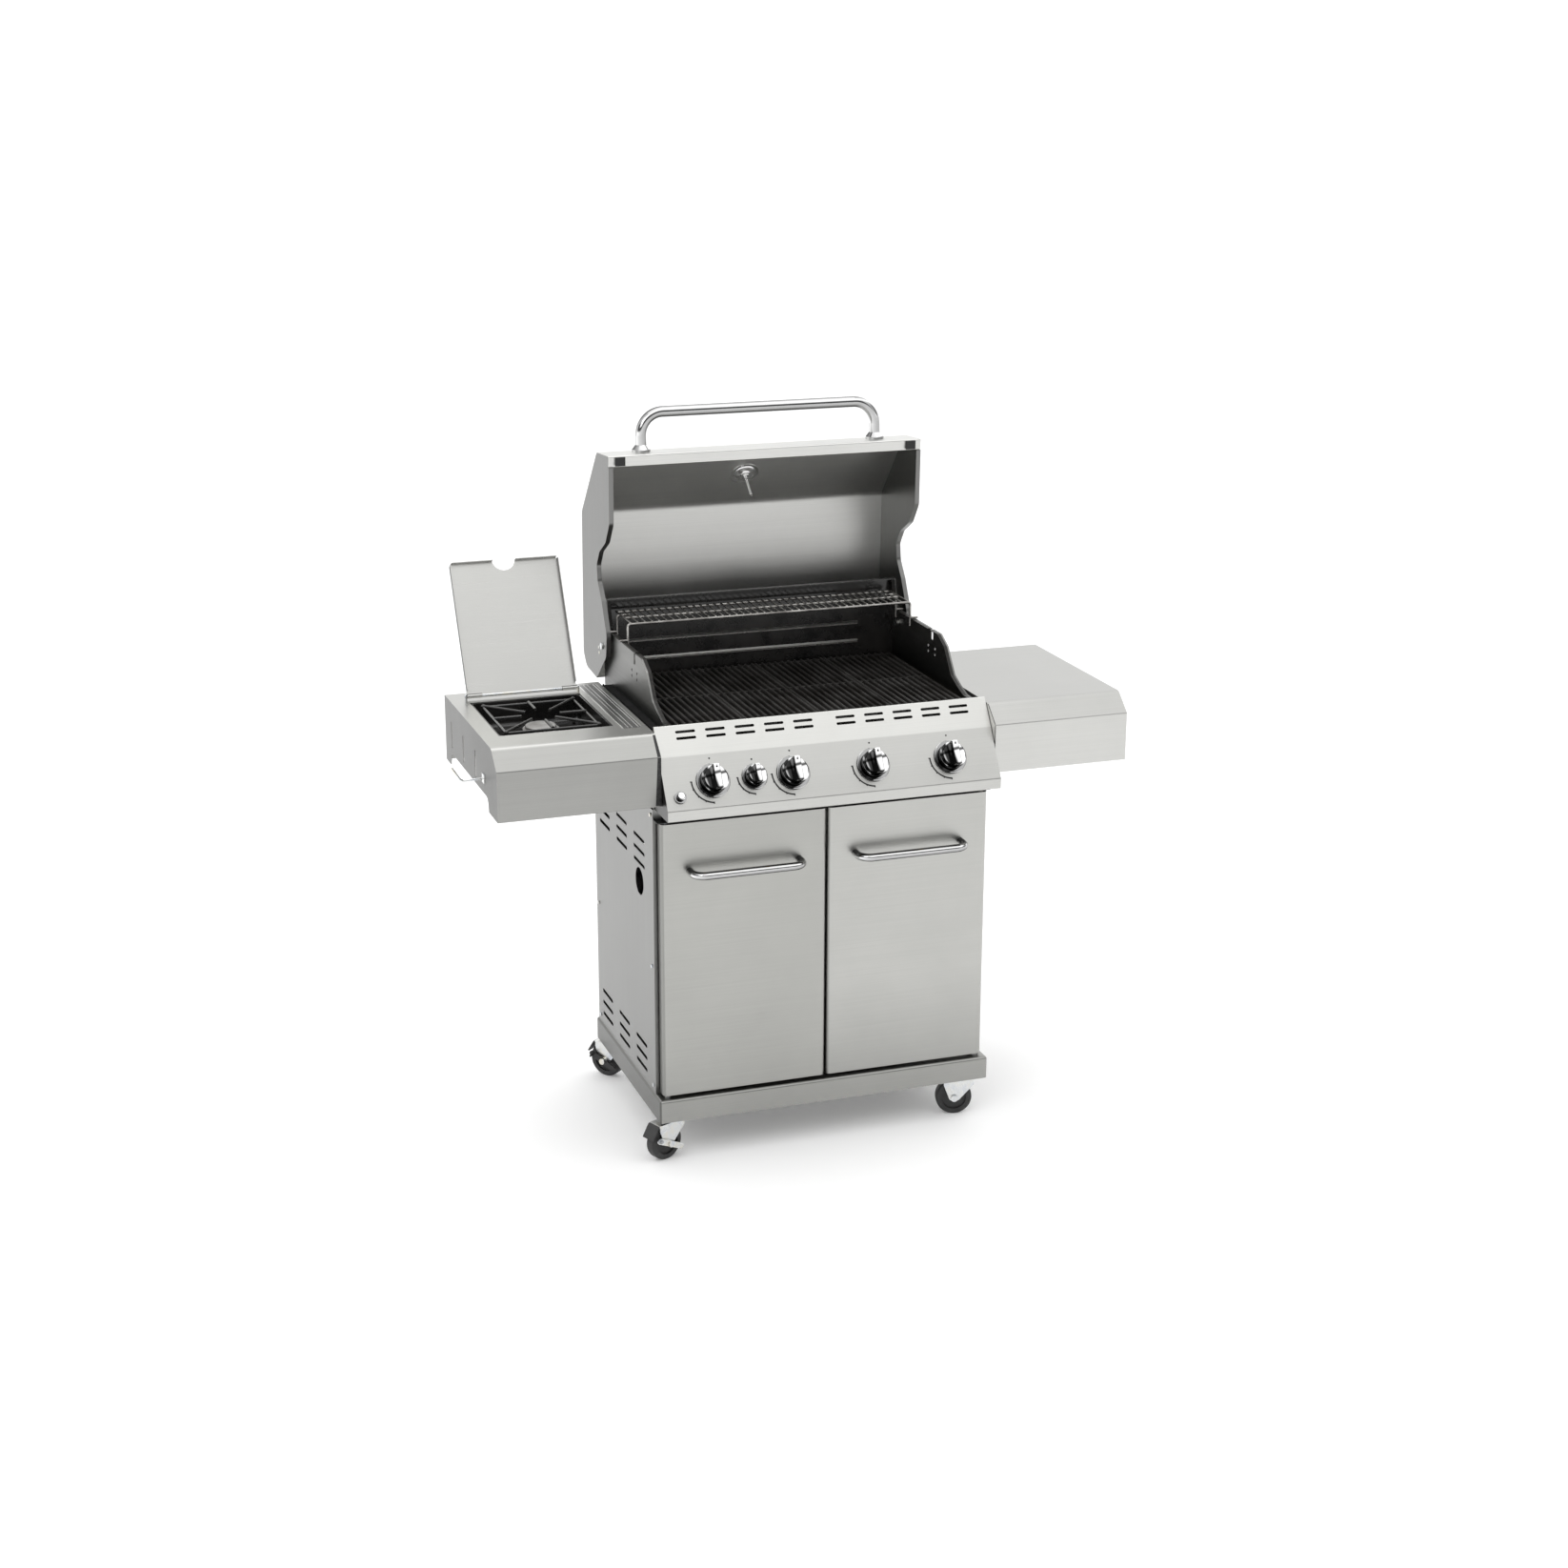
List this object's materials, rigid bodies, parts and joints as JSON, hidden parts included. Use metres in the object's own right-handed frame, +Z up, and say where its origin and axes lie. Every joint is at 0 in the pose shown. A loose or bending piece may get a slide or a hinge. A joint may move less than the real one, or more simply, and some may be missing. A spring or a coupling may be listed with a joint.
{
  "type": "gas barbecue grill",
  "caption": "Wheeled stainless gas barbecue with an open hinged hood over a grated firebox, knobs on a slanted panel, two side shelves, a lidded side burner and a two-door cabinet.",
  "frame": {"origin": "middle of the bounding box seen from above, on the floor", "axes": "+X to the user's right, +Y from the front to the back, +Z up"},
  "size_m": [1.3664, 0.6618, 1.4449],
  "materials": {
    "stainless": "brushed",
    "firebox_end_steel": "satin, with a black enamelled inside",
    "galvanised": "galvanised",
    "black_enamel": "semi-gloss enamel",
    "cast_iron": "seasoned",
    "chrome": "polished",
    "burner_steel": "heat-stained",
    "brass": "machined",
    "aluminium": "satin",
    "painted_pipe": "satin",
    "zinc": "zinc plated",
    "wheel_rubber": "moulded",
    "rubber_pad": "moulded"
  },
  "bodies": {
    "cart": {"base_pan": "stainless", "side_panel_left": "stainless", "side_panel_right": "stainless", "back_panel": "galvanised", "cross_rail": "galvanised", "hinge_pins": "zinc", "control_panel": "stainless", "knob_bezels": "chrome", "gas_manifold": "painted_pipe", "gas_valves": "brass", "side_burner_supply": "aluminium", "firebox": "black_enamel", "firebox_end_left": "firebox_end_steel", "firebox_end_right": "firebox_end_steel", "burners": "burner_steel", "heat_tents": "burner_steel", "cooking_grates": "cast_iron", "shelf_left": "stainless", "shelf_right": "stainless", "side_burner_bowl": "black_enamel", "side_burner_head": "aluminium", "lid_hinge": "zinc", "tool_hook": "zinc", "caster_plates": "zinc", "screws": "zinc"},
    "hood": {"hood_shell": "stainless", "hood_end_left": "stainless", "hood_end_right": "stainless", "hood_handle": "chrome", "hood_bumpers": "rubber_pad", "thermometer": "chrome"},
    "door_left": {"door_left": "stainless", "door_handle_left": "chrome"},
    "door_right": {"door_right": "stainless", "door_handle_right": "chrome"},
    "igniter_button": {"igniter_button": "chrome"},
    "side_burner_lid": {"side_burner_lid": "stainless"},
    "side_burner_grate": {"side_burner_grate": "black_enamel"},
    "warming_rack": {"warming_rack": "burner_steel"},
    "grease_tray": {"grease_tray": "stainless"},
    "valve_stem_1": {"valve_stem_1": "brass"},
    "knob_1": {"knob_1": "chrome"},
    "valve_stem_2": {"valve_stem_2": "brass"},
    "knob_2": {"knob_2": "chrome"},
    "valve_stem_3": {"valve_stem_3": "brass"},
    "knob_3": {"knob_3": "chrome"},
    "valve_stem_4": {"valve_stem_4": "brass"},
    "knob_4": {"knob_4": "chrome"},
    "valve_stem_5": {"valve_stem_5": "brass"},
    "knob_5": {"knob_5": "chrome"},
    "caster_fork_front_left": {"caster_fork_front_left": "zinc"},
    "caster_wheel_front_left": {"caster_wheel_front_left": "wheel_rubber"},
    "brake_lever_front_left": {"brake_lever_front_left": "zinc"},
    "caster_fork_front_right": {"caster_fork_front_right": "zinc"},
    "caster_wheel_front_right": {"caster_wheel_front_right": "wheel_rubber"},
    "caster_fork_rear_left": {"caster_fork_rear_left": "zinc"},
    "caster_wheel_rear_left": {"caster_wheel_rear_left": "wheel_rubber"},
    "brake_lever_rear_left": {"brake_lever_rear_left": "zinc"},
    "caster_fork_rear_right": {"caster_fork_rear_right": "zinc"},
    "caster_wheel_rear_right": {"caster_wheel_rear_right": "wheel_rubber"}
  },
  "joints": [
    {"name": "hood_hinge", "type": "hinge", "parent": "cart", "child": "hood", "pos_m": [0.04668, 0.17834, 0.957], "axis": [1, 0, 0], "range_deg": [0, 88.5]},
    {"name": "side_burner_lid_hinge", "type": "hinge", "parent": "cart", "child": "side_burner_lid", "pos_m": [-0.47232, 0.11634, 0.892], "axis": [1, 0, 0], "range_deg": [0, 118.5]},
    {"name": "door_left_hinge", "type": "hinge", "parent": "cart", "child": "door_left", "pos_m": [-0.28432, -0.24366, 0.4215], "axis": [0, 0, -1], "range_deg": [0, 110]},
    {"name": "door_right_hinge", "type": "hinge", "parent": "cart", "child": "door_right", "pos_m": [0.37767, -0.24366, 0.4215], "axis": [0, 0, 1], "range_deg": [0, 110]},
    {"name": "knob_1_push", "type": "slide", "parent": "cart", "child": "valve_stem_1", "axis": [0, 0.8496, -0.5275], "range_m": [0, 0.0035], "stiffness_N_per_m": 1200, "springref_m": -0.004},
    {"name": "knob_1_turn", "type": "hinge", "parent": "valve_stem_1", "child": "knob_1", "pos_m": [-0.19933, -0.28441, 0.7945], "axis": [0, -0.8496, 0.5275], "range_deg": [0, 180]},
    {"name": "knob_2_push", "type": "slide", "parent": "cart", "child": "valve_stem_2", "axis": [0, 0.8496, -0.5275], "range_m": [0, 0.0035], "stiffness_N_per_m": 1200, "springref_m": -0.004},
    {"name": "knob_2_turn", "type": "hinge", "parent": "valve_stem_2", "child": "knob_2", "pos_m": [-0.11532, -0.28441, 0.7945], "axis": [0, -0.8496, 0.5275], "range_deg": [0, 180]},
    {"name": "knob_3_push", "type": "slide", "parent": "cart", "child": "valve_stem_3", "axis": [0, 0.8496, -0.5275], "range_m": [0, 0.0035], "stiffness_N_per_m": 1200, "springref_m": -0.004},
    {"name": "knob_3_turn", "type": "hinge", "parent": "valve_stem_3", "child": "knob_3", "pos_m": [-0.03633, -0.28441, 0.7945], "axis": [0, -0.8496, 0.5275], "range_deg": [0, 180]},
    {"name": "knob_4_push", "type": "slide", "parent": "cart", "child": "valve_stem_4", "axis": [0, 0.8496, -0.5275], "range_m": [0, 0.0035], "stiffness_N_per_m": 1200, "springref_m": -0.004},
    {"name": "knob_4_turn", "type": "hinge", "parent": "valve_stem_4", "child": "knob_4", "pos_m": [0.12968, -0.28441, 0.7945], "axis": [0, -0.8496, 0.5275], "range_deg": [0, 180]},
    {"name": "knob_5_push", "type": "slide", "parent": "cart", "child": "valve_stem_5", "axis": [0, 0.8496, -0.5275], "range_m": [0, 0.0035], "stiffness_N_per_m": 1200, "springref_m": -0.004},
    {"name": "knob_5_turn", "type": "hinge", "parent": "valve_stem_5", "child": "knob_5", "pos_m": [0.29268, -0.28441, 0.7945], "axis": [0, -0.8496, 0.5275], "range_deg": [0, 180]},
    {"name": "igniter_push", "type": "slide", "parent": "cart", "child": "igniter_button", "axis": [0, 0.8496, -0.5275], "range_m": [0, 0.004], "stiffness_N_per_m": 600, "springref_m": -0.003},
    {"name": "grease_tray_slide", "type": "slide", "parent": "cart", "child": "grease_tray", "axis": [0, 1, 0], "range_m": [0, 0.3]},
    {"name": "warming_rack_lift", "type": "slide", "parent": "cart", "child": "warming_rack", "axis": [0, 0, -1], "range_m": [-0.06, 0]},
    {"name": "side_burner_grate_lift", "type": "slide", "parent": "cart", "child": "side_burner_grate", "axis": [0, 0, -1], "range_m": [-0.06, 0]},
    {"name": "caster_front_left_swivel", "type": "hinge", "parent": "cart", "child": "caster_fork_front_left", "pos_m": [-0.27132, -0.23366, 0.082], "axis": [0, 0, 1], "continuous": true},
    {"name": "caster_front_left_spin", "type": "hinge", "parent": "caster_fork_front_left", "child": "caster_wheel_front_left", "pos_m": [-0.29342, -0.24304, 0.0375], "axis": [0.3907, -0.9205, 0], "continuous": true},
    {"name": "caster_front_left_brake", "type": "hinge", "parent": "caster_fork_front_left", "child": "brake_lever_front_left", "pos_m": [-0.29342, -0.24304, 0.0375], "axis": [0.3907, -0.9205, 0], "range_deg": [0, 18]},
    {"name": "caster_front_right_swivel", "type": "hinge", "parent": "cart", "child": "caster_fork_front_right", "pos_m": [0.36468, -0.23366, 0.082], "axis": [0, 0, 1], "continuous": true},
    {"name": "caster_front_right_spin", "type": "hinge", "parent": "caster_fork_front_right", "child": "caster_wheel_front_right", "pos_m": [0.34149, -0.22745, 0.0375], "axis": [-0.2588, -0.9659, 0], "continuous": true},
    {"name": "caster_rear_left_swivel", "type": "hinge", "parent": "cart", "child": "caster_fork_rear_left", "pos_m": [-0.27132, 0.17634, 0.082], "axis": [0, 0, 1], "continuous": true},
    {"name": "caster_rear_left_spin", "type": "hinge", "parent": "caster_fork_rear_left", "child": "caster_wheel_rear_left", "pos_m": [-0.28675, 0.19473, 0.0375], "axis": [-0.766, -0.6428, 0], "continuous": true},
    {"name": "caster_rear_left_brake", "type": "hinge", "parent": "caster_fork_rear_left", "child": "brake_lever_rear_left", "pos_m": [-0.28675, 0.19473, 0.0375], "axis": [-0.766, -0.6428, 0], "range_deg": [0, 18]},
    {"name": "caster_rear_right_swivel", "type": "hinge", "parent": "cart", "child": "caster_fork_rear_right", "pos_m": [0.36468, 0.17634, 0.082], "axis": [0, 0, 1], "continuous": true},
    {"name": "caster_rear_right_spin", "type": "hinge", "parent": "caster_fork_rear_right", "child": "caster_wheel_rear_right", "pos_m": [0.34389, 0.18834, 0.0375], "axis": [-0.5, -0.866, 0], "continuous": true}
  ]
}
